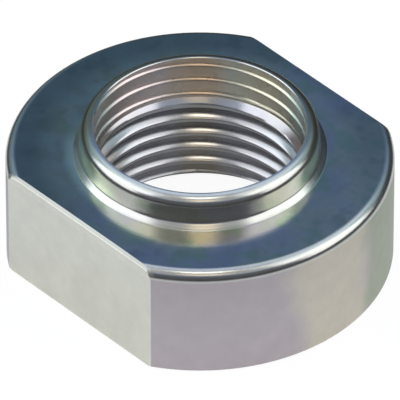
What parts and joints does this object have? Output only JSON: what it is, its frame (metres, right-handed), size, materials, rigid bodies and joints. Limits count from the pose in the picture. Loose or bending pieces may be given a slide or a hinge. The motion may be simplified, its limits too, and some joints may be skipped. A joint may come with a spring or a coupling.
{
  "type": "lock nut",
  "caption": "Round steel lock nut with parallel spanner flats, a flat seat and a raised collar with a rounded lip round its threaded bore.",
  "frame": {"origin": "centre of the threaded bore at the seat, the flat face away from the collar", "axes": "+Z along the bore from the seat to the collar, X along the spanner flats, Y square to them"},
  "size_m": [0.032, 0.027, 0.013],
  "materials": {
    "zinc_plate": "turned steel with a clear passivated zinc plate"
  },
  "bodies": {
    "root": {"lock_nut": "zinc_plate"}
  },
  "joints": []
}
